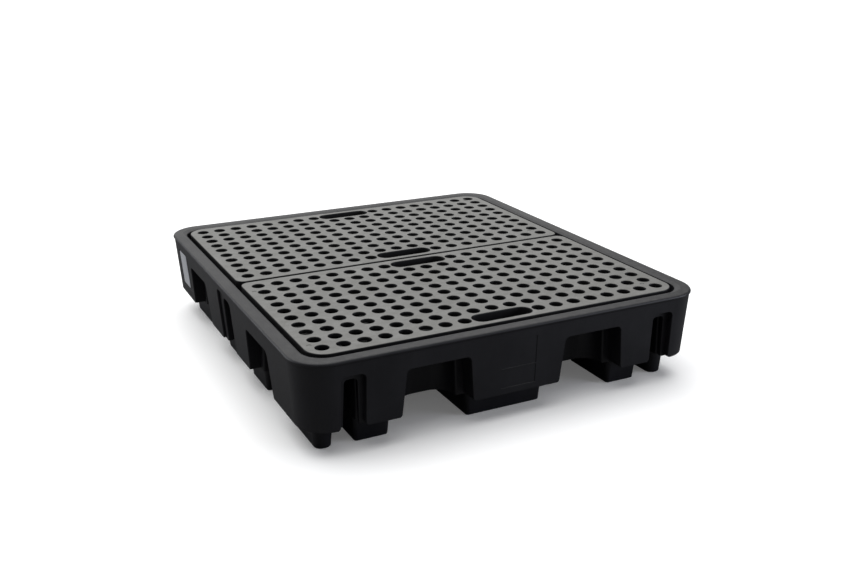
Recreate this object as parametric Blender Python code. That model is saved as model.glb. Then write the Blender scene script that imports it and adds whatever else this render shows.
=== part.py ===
"""Four-drum spill containment pallet.

A one-piece moulded sump body carries two lift-out perforated deck grates and one blank label.
The origin is on the floor under the middle of the pallet. +X runs along the front, which is the
1.28 m side, +Y runs from the front to the back, and +Z is up.
"""
import math

import bmesh
import bpy

# ---------------------------------------------------------------- driving dimensions (metres)
HALF_X = 0.640              # outside of the rim, half of the width
HALF_Y = 0.690              # outside of the rim, half of the depth
HEIGHT = 0.280              # floor to the top of the rim and the deck
RIM_RADIUS = 0.100          # plan radius of the rim's corners
CORNER_STEPS = 6            # facets in a rounded plan corner
FIT_GAP = 0.0003            # gap between pieces that rest on each other

SKIRT_BOTTOM = 0.080        # lower edge of the skirt, and underside of the tub
SKIRT_INSET = 0.0035        # step in under the rolled lip
SKIRT_DRAFT_X = 0.015       # taper of the left and right skirts, top to bottom
SKIRT_DRAFT_Y = 0.008       # taper of the front and back skirts, top to bottom
LIP_BOTTOM = 0.271
LIP_ROUND = 0.007
SKIRT_TOP = 0.2685
SKIRT_CHAMFER = 0.004
BOTTOM_RADIUS = 0.088       # plan radius of the skirt's corners at its lower edge

DECK_DEPTH = 0.040          # recess that the grates lie in
DECK_RADIUS = 0.069         # plan radius of the recess's corners
RIM_FLAT = 0.031            # rim edge to the inner end of the flat top
RIM_SLOPE = 0.013           # width of the sloped inner edge
SLOPE_DROP = 0.004
SLOPE_OVERRUN = 0.001       # how far the slope's cutter rises above the rim

TUB_WALL_DEPTH = 0.051      # rim edge to the outer face of the tub wall
TUB_WALL = 0.014
TUB_DRAFT = 0.006
TUB_RADIUS = 0.050          # plan radius of the tub's corners at the ledge
LEDGE = 0.012               # thickness of the ledge that the grates rest on
RIM_THICKNESS = 0.014
OVERLAP = 0.004             # how far joined solids run into each other
WALL = 0.006                # moulded wall thickness elsewhere
SKIN = 0.006                # skirt thickness

# fork openings: positions along the side, then the shape of the hole in the skirt
FORK_X = 0.246              # on the front and the back
FORK_Y = 0.313              # on the left and the right
FORK_TOP = 0.217
FORK_HALF_TOP = 0.0955
FORK_HALF_BOTTOM = 0.1060
FORK_ROUND = 0.015
FORK_DEPTH = 0.069          # rim edge to the wall inside a front or back opening
BLOCK_ROUND = 0.010         # lower corners of the skirt beside an opening
ALCOVE_DEPTH = 0.133        # rim edge to the back of the alcove behind the opening
ALCOVE_HALF_TOP = 0.075
ALCOVE_HALF_BOTTOM = 0.082
ALCOVE_ROUND = 0.057
ALCOVE_DRAFT = 0.008
MOUTH_OVERLAP = 0.012       # how far an alcove starts in front of the tub wall

# narrow slots in recessed frames: one near each corner of the front and back, one mid-side
SLOT_X = 0.492
SLOT_TOP = 0.213
SLOT_HALF_TOP = 0.0185
SLOT_HALF_BOTTOM = 0.0225
FRAME_TOP = 0.231
FRAME_HALF = 0.035
SIDE_SLOT_TOP = 0.230
SIDE_SLOT_HALF_TOP = 0.036
SIDE_SLOT_HALF_BOTTOM = 0.040
SIDE_FRAME_TOP = 0.250
SIDE_FRAME_HALF = 0.068
FRAME_RECESS = 0.020        # front and back frames
SIDE_FRAME_RECESS = 0.008
FRAME_ROUND = 0.015
SLOT_ROUND = 0.6            # top corner radius of a slot, as a share of its half width
SLOT_BACK_ROUND = 0.9       # inner corner radius, as a share of its half width
SLOT_DEPTH = 0.130

# feet: how far from the middle their sides are on the floor
FOOT_FRONT = 0.606
FOOT_SIDE = 0.571
FOOT_BACK = 0.409
FOOT_INNER = 0.362
SLOT_GROOVE_INNER = 0.462
SLOT_GROOVE_OUTER = 0.5225
CENTRE_FOOT = 0.121
SIDE_FOOT = 0.200
SIDE_GROOVE = 0.056
FOOT_DRAFT = 0.007
FOOT_ROUND = 0.010
CORNER_FOOT_ROUND = 0.022
FOOT_CHAMFER = 0.003
FOOT_STEPS = 3              # facets in a foot's rounded corner
WELL_ROUND = 0.7            # share of the wall that a well's corner radius is smaller by

# hollow posts that hold the grates up
POST_X = 0.243
POST_Y = 0.305
POST_BASE = 0.052
POST_TOP = 0.040
POST_SIDES = 12

# grates
GRATE_HALF_X = 0.583
GRATE_EDGE_Y = 0.633
SEAM_HALF = 0.0065
GRATE_SKIN = 0.010
GRATE_ROUND = 0.057
SEAM_ROUND = 0.028
GRATE_CHAMFER = 0.002
PITCH_X = 0.0597
PITCH_Y = 0.0592
COLUMNS = 19
ROWS = 10
HOLE_RADIUS = 0.019
HOLE_SIDES = 6
HAND_SLOT_LENGTH = 0.188
HAND_SLOT_WIDTH = 0.057
HAND_SLOT_COLUMNS = 1       # columns on each side of the middle that the hand slot takes up
RIB_EVERY = 3
RIB = 0.006
EDGE_RIB = 0.010
COLLAR = 0.006

# label panels
PANEL_HALF = 0.055
PANEL_DEPTH = 0.0015
PANEL_SPANS = ((0.101, 0.157), (0.160, 0.243))
LABEL_Y = (0.433, 0.552)
LABEL_SHEET_Y = (0.466, 0.549)
LABEL_Z = (0.119, 0.241)
LABEL_RECESS = 0.0020
LABEL_THICKNESS = 0.0012
LABEL_MARGIN = 0.003

CLEAR = 0.020               # how far a cutter runs past the surface it cuts


# ---------------------------------------------------------------- outlines
def rounded_rect(half_x, half_y, radius, steps=CORNER_STEPS, centre=(0.0, 0.0)):
    """Corner-rounded rectangle, counter-clockwise, as (x, y) points."""
    points = []
    for quadrant, (sx, sy) in enumerate(((1, 1), (-1, 1), (-1, -1), (1, -1))):
        cx = centre[0] + sx * (half_x - radius)
        cy = centre[1] + sy * (half_y - radius)
        for step in range(steps + 1):
            angle = math.pi / 2 * (quadrant + step / steps)
            points.append((cx + radius * math.cos(angle), cy + radius * math.sin(angle)))
    return points


def two_radius_rect(half_x, low_y, high_y, low_radius, high_radius):
    """Rectangle whose corners at low_y and at high_y have different radii."""
    points = []
    corners = ((1, high_y, high_radius), (-1, high_y, high_radius),
               (-1, low_y, low_radius), (1, low_y, low_radius))
    for quadrant, (sx, edge_y, radius) in enumerate(corners):
        sy = 1 if quadrant < 2 else -1
        for step in range(CORNER_STEPS + 1):
            angle = math.pi / 2 * (quadrant + step / CORNER_STEPS)
            points.append((sx * (half_x - radius) + radius * math.cos(angle),
                           edge_y - sy * radius + radius * math.sin(angle)))
    return points


def arch(half_top, half_bottom, top, radius, low_radius=BLOCK_ROUND, steps=3):
    """Doorway outline with rounded top corners and flared lower ones, as (u, z) points."""
    right = [(half_bottom + low_radius, SKIRT_BOTTOM - CLEAR)]
    for step in range(steps + 1):
        angle = math.pi / 2 * step / steps
        right.append((half_bottom + low_radius * (1 - math.sin(angle)),
                      SKIRT_BOTTOM + low_radius * (1 - math.cos(angle))))
    for step in range(steps + 1):
        angle = math.pi / 2 * step / steps
        right.append((half_top - radius * (1 - math.cos(angle)),
                      top - radius * (1 - math.sin(angle))))
    return right + [(-u, z) for u, z in reversed(right)]


def alcove(half, back, round_radius, front, steps=4):
    """Plan of a recess with rounded inner corners, as (u, depth) points."""
    points = [(-half, front), (half, front)]
    for side, start in ((1, 0.0), (-1, math.pi / 2)):
        for step in range(steps + 1):
            angle = start + math.pi / 2 * step / steps
            points.append((side * (half - round_radius) + round_radius * math.cos(angle),
                           back - round_radius + round_radius * math.sin(angle)))
    return points


def stadium(length, width, centre_y, steps=6):
    """Slot with half-round ends, centred on x = 0."""
    radius = width / 2
    points = []
    for side, start in ((1, -math.pi / 2), (-1, math.pi / 2)):
        for step in range(steps + 1):
            angle = start + math.pi * step / steps
            points.append((side * (length / 2 - radius) + radius * math.cos(angle),
                           centre_y + radius * math.sin(angle)))
    return points


# ---------------------------------------------------------------- mesh helpers
def ring_at(outline, z):
    return [(x, y, z) for x, y in outline]


def add_loft(bm, rings, closed=False):
    """Skin a list of equal-length rings; closed joins the last ring to the first."""
    loops = [[bm.verts.new(point) for point in ring] for ring in rings]
    pairs = list(zip(loops, loops[1:]))
    if closed:
        pairs.append((loops[-1], loops[0]))
    else:
        bm.faces.new(loops[0])
        bm.faces.new(loops[-1])
    count = len(loops[0])
    for lower, upper in pairs:
        for i in range(count):
            j = (i + 1) % count
            bm.faces.new((lower[i], lower[j], upper[j], upper[i]))


def make_object(name, lofts, closed=False):
    """One object from a list of lofts, with its faces turned outwards."""
    bm = bmesh.new()
    for rings in lofts:
        add_loft(bm, rings, closed)
    bmesh.ops.recalc_face_normals(bm, faces=bm.faces)
    mesh = bpy.data.meshes.new(name)
    bm.to_mesh(mesh)
    bm.free()
    obj = bpy.data.objects.new(name, mesh)
    bpy.context.collection.objects.link(obj)
    return obj


def make_cutter(name, lofts, closed=False):
    obj = make_object(name, lofts, closed)
    obj.hide_render = True
    obj.display_type = "WIRE"
    return obj


def boolean(obj, other, operation="DIFFERENCE"):
    modifier = obj.modifiers.new(other.name, "BOOLEAN")
    modifier.object = other
    modifier.operation = operation
    modifier.solver = "EXACT"


def plastic(name, colour, roughness):
    material = bpy.data.materials.new(name)
    material.use_nodes = True
    shader = material.node_tree.nodes["Principled BSDF"]
    shader.inputs["Base Color"].default_value = (*colour, 1.0)
    shader.inputs["Roughness"].default_value = roughness
    shader.inputs["Metallic"].default_value = 0.0
    return material


def shade(obj, material, angle=30.0):
    obj.data.materials.append(material)
    obj.data.shade_smooth()
    obj.data.set_sharp_from_angle(angle=math.radians(angle))


# ---------------------------------------------------------------- the four sides
def to_side(side, u, depth, z):
    """World point from a place along one side, a depth in from its rim edge, and a height."""
    if side == "front":
        return (u, -HALF_Y + depth, z)
    if side == "back":
        return (u, HALF_Y - depth, z)
    if side == "left":
        return (-HALF_X + depth, u, z)
    return (HALF_X - depth, u, z)


FORK_PLACES = [(side, sign * place)
               for sides, place in ((("front", "back"), FORK_X), (("left", "right"), FORK_Y))
               for side in sides for sign in (-1, 1)]
FRONT_SLOTS = [(side, sign * SLOT_X) for side in ("front", "back") for sign in (-1, 1)]
SIDE_SLOTS = [("left", 0.0), ("right", 0.0)]


def skirt_depth(side, z):
    """Depth of the skirt's face behind the rim edge at a height."""
    draft = SKIRT_DRAFT_Y if side in ("front", "back") else SKIRT_DRAFT_X
    return SKIRT_INSET + draft * (SKIRT_TOP - z) / (SKIRT_TOP - SKIRT_BOTTOM)


def doorway(side, centre, outline, near, far):
    """Loft that runs into a side from depth near to depth far; depths may follow the height."""
    return [[to_side(side, centre + u, reach(z), z) for u, z in outline] for reach in (near, far)]


def fixed(depth):
    return lambda z: depth


def below_skirt(side, depth):
    """Depth that follows the skirt's taper, some way under its face."""
    return lambda z: skirt_depth(side, z) + depth


def fork_doorways(grow=0.0, beyond=0.0):
    """Openings in the skirt; those at the front and back also sink into the tub wall."""
    outline = arch(FORK_HALF_TOP + grow, FORK_HALF_BOTTOM + grow, FORK_TOP + grow, FORK_ROUND + grow)
    lofts = []
    for side, u in FORK_PLACES:
        depth = FORK_DEPTH if side in ("front", "back") else TUB_WALL_DEPTH
        lofts.append(doorway(side, u, outline, fixed(-CLEAR), fixed(depth + beyond)))
    return lofts


def alcove_lofts(places, half_top, half_bottom, top, back, radius, grow=0.0):
    lofts = []
    bottom = SKIRT_BOTTOM - CLEAR
    front = TUB_WALL_DEPTH - MOUTH_OVERLAP - grow
    for side, centre in places:
        rings = []
        for z, half, depth in ((bottom, half_bottom, back), (top + grow, half_top, back - ALCOVE_DRAFT)):
            plan = alcove(half + grow, depth + grow, radius + grow, front)
            rings.append([to_side(side, centre + u, d, z) for u, d in plan])
        lofts.append(rings)
    return lofts


def all_alcoves(grow=0.0):
    lofts = alcove_lofts(FORK_PLACES, ALCOVE_HALF_TOP, ALCOVE_HALF_BOTTOM, FORK_TOP,
                         ALCOVE_DEPTH, ALCOVE_ROUND, grow)
    lofts += alcove_lofts(FRONT_SLOTS, SLOT_HALF_TOP, SLOT_HALF_BOTTOM, SLOT_TOP,
                          SLOT_DEPTH, SLOT_HALF_TOP * SLOT_BACK_ROUND, grow)
    lofts += alcove_lofts(SIDE_SLOTS, SIDE_SLOT_HALF_TOP, SIDE_SLOT_HALF_BOTTOM, SIDE_SLOT_TOP,
                          SLOT_DEPTH, SIDE_SLOT_HALF_TOP * SLOT_BACK_ROUND, grow)
    return lofts


def slot_doorways():
    lofts = []
    for places, half_top, half_bottom, top in (
            (FRONT_SLOTS, SLOT_HALF_TOP, SLOT_HALF_BOTTOM, SLOT_TOP),
            (SIDE_SLOTS, SIDE_SLOT_HALF_TOP, SIDE_SLOT_HALF_BOTTOM, SIDE_SLOT_TOP)):
        outline = arch(half_top, half_bottom, top, half_top * SLOT_ROUND, BLOCK_ROUND / 3)
        for side, centre in places:
            lofts.append(doorway(side, centre, outline, fixed(-CLEAR), fixed(TUB_WALL_DEPTH)))
    return lofts


def frame_doorways(grow=0.0, recess=True):
    """Shallow frames around the slots, or the solid blocks of material behind them."""
    lofts = []
    for places, half, top, sunk in ((FRONT_SLOTS, FRAME_HALF, FRAME_TOP, FRAME_RECESS),
                                    (SIDE_SLOTS, SIDE_FRAME_HALF, SIDE_FRAME_TOP, SIDE_FRAME_RECESS)):
        outline = arch(half + grow, half + grow, top + grow, FRAME_ROUND + grow, BLOCK_ROUND)
        for side, centre in places:
            far = fixed(TUB_WALL_DEPTH + CLEAR)
            if recess:
                far = below_skirt(side, sunk)
            lofts.append(doorway(side, centre, outline, fixed(-CLEAR), far))
    return lofts


# ---------------------------------------------------------------- sump body
def body_shell():
    """Solid of the outside: skirt, rolled lip and flat rim."""
    bottom_x = HALF_X - SKIRT_INSET - SKIRT_DRAFT_X
    bottom_y = HALF_Y - SKIRT_INSET - SKIRT_DRAFT_Y
    top_x = HALF_X - SKIRT_INSET
    top_y = HALF_Y - SKIRT_INSET
    soft = LIP_ROUND * (1 - math.cos(math.pi / 4))
    stations = (
        (bottom_x - SKIRT_CHAMFER, bottom_y - SKIRT_CHAMFER, BOTTOM_RADIUS - SKIRT_CHAMFER,
         SKIRT_BOTTOM),
        (bottom_x, bottom_y, BOTTOM_RADIUS, SKIRT_BOTTOM + SKIRT_CHAMFER),
        (top_x, top_y, RIM_RADIUS - SKIRT_INSET, SKIRT_TOP),
        (HALF_X, HALF_Y, RIM_RADIUS, LIP_BOTTOM),
        (HALF_X, HALF_Y, RIM_RADIUS, HEIGHT - LIP_ROUND),
        (HALF_X - soft, HALF_Y - soft, RIM_RADIUS - soft, HEIGHT - soft),
        (HALF_X - LIP_ROUND, HALF_Y - LIP_ROUND, RIM_RADIUS - LIP_ROUND, HEIGHT),
    )
    rings = [ring_at(rounded_rect(hx, hy, radius), z) for hx, hy, radius, z in stations]
    return make_object("sump_body", [rings])


def inset_ring(inset, z, radius):
    """Rounded rectangle at a distance in from the rim edge."""
    return ring_at(rounded_rect(HALF_X - inset, HALF_Y - inset, radius), z)


def deck_recess():
    floor = HEIGHT - DECK_DEPTH
    wall = RIM_FLAT + RIM_SLOPE
    overrun = RIM_FLAT - SLOPE_OVERRUN * RIM_SLOPE / SLOPE_DROP
    rings = [inset_ring(wall, floor, DECK_RADIUS),
             inset_ring(wall, HEIGHT - SLOPE_DROP, DECK_RADIUS),
             inset_ring(overrun, HEIGHT + SLOPE_OVERRUN, DECK_RADIUS + wall - overrun)]
    return make_cutter("deck_recess", [rings])


def feet_plan():
    """Floor rectangles of the feet: (low x, high x, low y, high y, corner radius)."""
    plan = [(-CENTRE_FOOT, CENTRE_FOOT, -SIDE_FOOT, SIDE_FOOT, FOOT_ROUND)]
    strips = ((FOOT_INNER, SLOT_GROOVE_INNER, FOOT_ROUND),
              (SLOT_GROOVE_OUTER, FOOT_SIDE, CORNER_FOOT_ROUND))
    for sy in (-1, 1):
        low_y, high_y = sorted((sy * FOOT_BACK, sy * FOOT_FRONT))
        plan.append((-CENTRE_FOOT, CENTRE_FOOT, low_y, high_y, FOOT_ROUND))
        for sx in (-1, 1):
            for near, far, radius in strips:
                plan.append((*sorted((sx * near, sx * far)), low_y, high_y, radius))
            plan.append((*sorted((sx * FOOT_INNER, sx * FOOT_SIDE)),
                         *sorted((sy * SIDE_GROOVE, sy * SIDE_FOOT)), FOOT_ROUND))
    return plan


def foot_lofts(inset=0.0, floor=0.0, top=SKIRT_BOTTOM + OVERLAP):
    """Tapered feet, or with an inset the wells inside them."""
    lofts = []
    for low_x, high_x, low_y, high_y, radius in feet_plan():
        centre = ((low_x + high_x) / 2, (low_y + high_y) / 2)
        rings = []
        for z, grow in ((floor, -FOOT_CHAMFER), (floor + FOOT_CHAMFER, 0.0), (top, FOOT_DRAFT)):
            rings.append(ring_at(rounded_rect((high_x - low_x) / 2 + grow - inset,
                                              (high_y - low_y) / 2 + grow - inset,
                                              radius + grow - inset * WELL_ROUND,
                                              FOOT_STEPS, centre), z))
        lofts.append(rings)
    return lofts


def post_lofts(inset, bottom, top):
    """Tapered posts at the fork channels' crossings and beside the seam."""
    places = [(sx * POST_X, sy * POST_Y) for sx in (-1, 1) for sy in (-1, 1)]
    places += [(sx * POST_X, 0.0) for sx in (-1, 1)]
    places += [(0.0, sy * POST_Y) for sy in (-1, 1)]
    lofts = []
    for cx, cy in places:
        rings = []
        for z, radius in ((bottom, POST_BASE - inset), (top, POST_TOP - inset)):
            turn = [2 * math.pi * i / POST_SIDES for i in range(POST_SIDES)]
            rings.append([(cx + radius * math.cos(a), cy + radius * math.sin(a), z) for a in turn])
        lofts.append(rings)
    return lofts


def tub_cavity():
    """Liquid space: the tub, less the walls of the alcoves and the posts, plus the foot wells."""
    top_inset = TUB_WALL_DEPTH + TUB_WALL
    floor = SKIRT_BOTTOM + WALL
    top = HEIGHT - DECK_DEPTH + OVERLAP
    rings = [inset_ring(top_inset + TUB_DRAFT, floor, TUB_RADIUS - TUB_DRAFT),
             inset_ring(top_inset, top, TUB_RADIUS)]
    cavity = make_cutter("tub_cavity", [rings])
    boolean(cavity, make_cutter("opening_walls", fork_doorways(WALL, WALL)))
    boolean(cavity, make_cutter("alcove_walls", all_alcoves(grow=WALL)))
    boolean(cavity, make_cutter("post_walls", post_lofts(0.0, SKIRT_BOTTOM, HEIGHT - DECK_DEPTH)))
    boolean(cavity, make_cutter("foot_wells", foot_lofts(WALL, WALL, floor + OVERLAP)), "UNION")
    return cavity


def skirt_channel():
    """Hollow between the skirt and the tub wall, open underneath, less the openings' walls."""
    bottom = SKIRT_BOTTOM - CLEAR
    outer_x = HALF_X - SKIRT_INSET - SKIRT_DRAFT_X - SKIN
    outer_y = HALF_Y - SKIRT_INSET - SKIRT_DRAFT_Y - SKIN
    ceiling = HEIGHT - RIM_THICKNESS
    ledge = HEIGHT - DECK_DEPTH - LEDGE
    wall_radius = RIM_RADIUS - RIM_FLAT
    rings = [
        ring_at(rounded_rect(outer_x, outer_y, BOTTOM_RADIUS - SKIN), bottom),
        inset_ring(SKIRT_INSET + SKIN, ceiling, RIM_RADIUS - SKIRT_INSET - SKIN),
        inset_ring(RIM_FLAT, ceiling, wall_radius),
        inset_ring(RIM_FLAT, ledge + RIM_SLOPE, wall_radius),
        inset_ring(TUB_WALL_DEPTH, ledge, wall_radius),
        inset_ring(TUB_WALL_DEPTH, bottom, wall_radius),
    ]
    channel = make_cutter("skirt_channel", [rings], closed=True)
    boolean(channel, make_cutter("fork_returns", fork_doorways(WALL, CLEAR)))
    boolean(channel, make_cutter("slot_returns", frame_doorways(WALL, recess=False)))
    return channel


def panel_recesses():
    """Blank panels: two on the front's middle block, one for the label on the left side."""
    spans = [("front", -PANEL_HALF, PANEL_HALF, low, high, PANEL_DEPTH) for low, high in PANEL_SPANS]
    spans.append(("left", *LABEL_Y, *LABEL_Z, LABEL_RECESS))
    lofts = []
    for side, low_u, high_u, low_z, high_z, depth in spans:
        outline = [(low_u, low_z), (high_u, low_z), (high_u, high_z), (low_u, high_z)]
        lofts.append(doorway(side, 0.0, outline, fixed(-CLEAR), below_skirt(side, depth)))
    return make_cutter("panel_recesses", lofts)


def build_body(material):
    body = body_shell()
    boolean(body, make_cutter("feet", foot_lofts()), "UNION")
    boolean(body, deck_recess())
    boolean(body, tub_cavity())
    boolean(body, skirt_channel())
    boolean(body, make_cutter("fork_openings", fork_doorways()))
    boolean(body, make_cutter("alcoves", all_alcoves()))
    boolean(body, make_cutter("slot_frames", frame_doorways()))
    boolean(body, make_cutter("slots", slot_doorways()))
    boolean(body, make_cutter("post_hollows",
                              post_lofts(WALL, SKIRT_BOTTOM - CLEAR, HEIGHT - DECK_DEPTH - WALL)))
    boolean(body, panel_recesses())
    shade(body, material)


# ---------------------------------------------------------------- grates
def rib_lines(count):
    """Rib positions, in pitches from the middle, between every few rows of holes."""
    first = 0.0 if count % 2 == 0 else RIB_EVERY / 2
    lines = []
    line = first
    while line < (count - 1) / 2:
        lines += [line] if line == 0.0 else [-line, line]
        line += RIB_EVERY
    return sorted(lines)


def cells(limit_low, limit_high, centre, pitch, count):
    """Spans between the ribs, inside the edge ribs."""
    edges = [centre + pitch * line for line in rib_lines(count)]
    starts = [limit_low] + [edge + RIB / 2 for edge in edges]
    ends = [edge - RIB / 2 for edge in edges] + [limit_high]
    return list(zip(starts, ends))


def hole_places(centre_y):
    """Hole centres, without the ones that the hand slots replace."""
    places = []
    for row in range(ROWS):
        for column in range(COLUMNS):
            from_middle = column - (COLUMNS - 1) // 2
            if row in (0, ROWS - 1) and abs(from_middle) <= HAND_SLOT_COLUMNS:
                continue
            places.append((from_middle * PITCH_X, centre_y + (row - (ROWS - 1) / 2) * PITCH_Y))
    return places


def build_grate(name, sign, material):
    """One grate: sign is -1 for the front one and +1 for the back one."""
    low_y, high_y = sorted((sign * SEAM_HALF, sign * GRATE_EDGE_Y))
    centre_y = (low_y + high_y) / 2
    low_radius, high_radius = (GRATE_ROUND, SEAM_ROUND) if sign < 0 else (SEAM_ROUND, GRATE_ROUND)
    bottom = HEIGHT - DECK_DEPTH + FIT_GAP
    rings = []
    for z, inset in ((bottom, 0.0), (HEIGHT - GRATE_CHAMFER, 0.0), (HEIGHT, GRATE_CHAMFER)):
        outline = two_radius_rect(GRATE_HALF_X - inset, low_y + inset, high_y - inset,
                                  low_radius - inset, high_radius - inset)
        rings.append(ring_at(outline, z))
    grate = make_object(name, [rings])

    hand_y = [centre_y + end * (ROWS - 1) / 2 * PITCH_Y for end in (-1, 1)]
    pockets = []
    for low_u, high_u in cells(-GRATE_HALF_X + EDGE_RIB, GRATE_HALF_X - EDGE_RIB, 0.0, PITCH_X, COLUMNS):
        for low_v, high_v in cells(low_y + EDGE_RIB, high_y - EDGE_RIB, centre_y, PITCH_Y, ROWS):
            outline = [(low_u, low_v), (high_u, low_v), (high_u, high_v), (low_u, high_v)]
            pockets.append([ring_at(outline, bottom - CLEAR), ring_at(outline, HEIGHT - GRATE_SKIN)])
    underside = make_cutter(name + "_pockets", pockets)
    collars = [[ring_at(stadium(HAND_SLOT_LENGTH + 2 * COLLAR, HAND_SLOT_WIDTH + 2 * COLLAR, y), z)
                for z in (bottom - 2 * CLEAR, HEIGHT - GRATE_SKIN / 2)] for y in hand_y]
    boolean(underside, make_cutter(name + "_collars", collars))
    boolean(grate, underside)

    through = (bottom - CLEAR, HEIGHT + CLEAR)
    turn = [2 * math.pi * (i + 0.5) / HOLE_SIDES for i in range(HOLE_SIDES)]
    circle = [(HOLE_RADIUS * math.cos(a), HOLE_RADIUS * math.sin(a)) for a in turn]
    holes = [[[(x + dx, y + dy, z) for dx, dy in circle] for z in through]
             for x, y in hole_places(centre_y)]
    hand_slots = [[ring_at(stadium(HAND_SLOT_LENGTH, HAND_SLOT_WIDTH, y), z) for z in through]
                  for y in hand_y]
    boolean(grate, make_cutter(name + "_holes", holes + hand_slots))
    shade(grate, material)


# ---------------------------------------------------------------- label
def build_label(material):
    """Blank self-adhesive plate in the recess on the left side, parallel to the skirt."""
    low_y, high_y = LABEL_SHEET_Y
    low_z = LABEL_Z[0] + LABEL_MARGIN
    high_z = LABEL_Z[1] - LABEL_MARGIN
    outline = [(low_y, low_z), (high_y, low_z), (high_y, high_z), (low_y, high_z)]
    back = LABEL_RECESS - FIT_GAP
    label = make_object("id_label", [doorway("left", 0.0, outline,
                                             below_skirt("left", back - LABEL_THICKNESS),
                                             below_skirt("left", back))])
    shade(label, material)


def main():
    for obj in list(bpy.data.objects):
        bpy.data.objects.remove(obj)
    black = plastic("black_polyethylene", (0.012, 0.012, 0.014), 0.42)
    deck = plastic("deck_polyethylene", (0.045, 0.045, 0.043), 0.50)
    film = plastic("label_film", (0.55, 0.56, 0.58), 0.35)
    build_body(black)
    build_grate("front_grate", -1, deck)
    build_grate("rear_grate", 1, deck)
    build_label(film)


main()
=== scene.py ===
"""Looks of a four-drum spill containment pallet.

The moulded sump, both deck grates and the label are built again here in fine detail, with rolled
edges, filleted openings and chamfered holes, and each stands for the CAD node of the same piece.
Everything is in metres. The origin is on the floor under the middle of the pallet, +X runs along
the front and +Y from the front to the back.
"""
import math

import bmesh
import bpy
from mathutils import Matrix, Vector


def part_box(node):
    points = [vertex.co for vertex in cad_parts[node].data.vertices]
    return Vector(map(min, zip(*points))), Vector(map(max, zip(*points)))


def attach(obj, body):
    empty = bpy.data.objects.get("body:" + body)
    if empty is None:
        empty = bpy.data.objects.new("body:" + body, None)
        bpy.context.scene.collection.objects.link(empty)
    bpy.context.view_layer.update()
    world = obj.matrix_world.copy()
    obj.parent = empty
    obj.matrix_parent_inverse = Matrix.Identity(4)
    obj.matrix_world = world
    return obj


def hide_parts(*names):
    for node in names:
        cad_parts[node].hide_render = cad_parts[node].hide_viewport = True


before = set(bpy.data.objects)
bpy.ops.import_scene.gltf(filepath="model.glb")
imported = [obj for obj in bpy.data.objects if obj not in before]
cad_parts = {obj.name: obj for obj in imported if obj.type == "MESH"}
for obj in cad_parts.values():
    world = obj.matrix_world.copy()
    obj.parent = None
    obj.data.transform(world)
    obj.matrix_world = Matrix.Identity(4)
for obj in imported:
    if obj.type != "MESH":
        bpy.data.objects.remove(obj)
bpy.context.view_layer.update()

# ---------------------------------------------------------------- sizes taken from the frame
BODY_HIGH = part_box("sump_body")[1]
GRATE_LOW, GRATE_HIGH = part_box("rear_grate")
HALF_X = round(BODY_HIGH.x, 4)
HALF_Y = round(BODY_HIGH.y, 4)
HEIGHT = round(BODY_HIGH.z, 4)
GRATE_HALF_X = round(GRATE_HIGH.x, 4)
GRATE_EDGE_Y = round(GRATE_HIGH.y, 4)
SEAM_HALF = round(GRATE_LOW.y, 4)
GRATE_BOTTOM = round(GRATE_LOW.z, 4)

# ---------------------------------------------------------------- cutters and steps per round
CLEAR = 0.020               # how far a cutter runs past the surface it cuts
NUDGE = 0.0003              # keeps a rolled edge from starting exactly on a flat face
CORNER_STEPS = 14
ROLL_STEPS = 4
ARCH_LOW_STEPS = 5
ARCH_TOP_STEPS = 6
ALCOVE_STEPS = 8
CEILING_STEPS = 3
LIP_STEPS = 6
FOOT_STEPS = 6
SOLE_STEPS = 3
PANEL_STEPS = 3
LABEL_STEPS = 6
POCKET_STEPS = 3
CHAMFER_STEPS = 3
STADIUM_STEPS = 14
HOLE_SIDES = 28

MERGE_DISTANCE = 0.00005
SHARP_ANGLE = math.radians(34.0)
NORMAL_WEIGHT = 80

# ---------------------------------------------------------------- sump sizes
RIM_RADIUS = 0.100
SKIRT_BOTTOM = 0.080
SKIRT_INSET = 0.0035
SKIRT_DRAFT_X = 0.015
SKIRT_DRAFT_Y = 0.008
SKIRT_TOP = 0.2685
LIP_BOTTOM = 0.2710
LIP_ROUND = 0.007
FLARE_START = 0.003         # how far below its top the skirt starts to run out to the lip
SKIRT_FLARE = 0.0007
LIP_BEVEL = 0.0009          # bevel on the lip's lower edge, inwards, with its two heights
LIP_BEVEL_DROP = 0.0008
LIP_BEVEL_RISE = 0.0007
DECK_DEPTH = 0.040
RIM_FLAT = 0.031
RIM_SLOPE = 0.013
SLOPE_DROP = 0.004
SLOPE_FOOT = ((0.0, -0.0025), (0.0006, -0.0007), (0.0030, 0.0009))  # (outwards, up) round its foot
RIM_EDGE = ((0.0040, -0.0011), (0.0015, -0.0003),                   # (inwards, up) round its top
            (-0.0015, NUDGE), (-0.0040, CLEAR))
TUB_WALL_DEPTH = 0.051
TUB_WALL = 0.014
TUB_DRAFT = 0.006
TUB_FLOOR_ROUND = 0.014
WALL = 0.006
SKIN = 0.006
FACE_ROUND = 0.0035         # rolled edge where an opening meets the skirt
SLOT_EDGE_ROUND = 0.0028    # the same on a slot inside its frame
MOUTH_ROUND = 0.007         # rolled edge where an alcove meets the tub wall
CEILING_ROUND = 0.010
CEILING_SHARE = 0.5         # most of a half width that a ceiling's rounding takes up
SKIRT_ROUND = 0.003         # lower edge of the skirt
BOTTOM_RADIUS = 0.088       # plan radius of the skirt's corners at its lower edge
DECK_RADIUS = 0.069         # plan radius of the corners of the recess the grates lie in
TUB_RADIUS = 0.050
LEDGE = 0.012
LEDGE_BEVEL = 0.003
RIM_THICKNESS = 0.014
OVERLAP = 0.004

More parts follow.
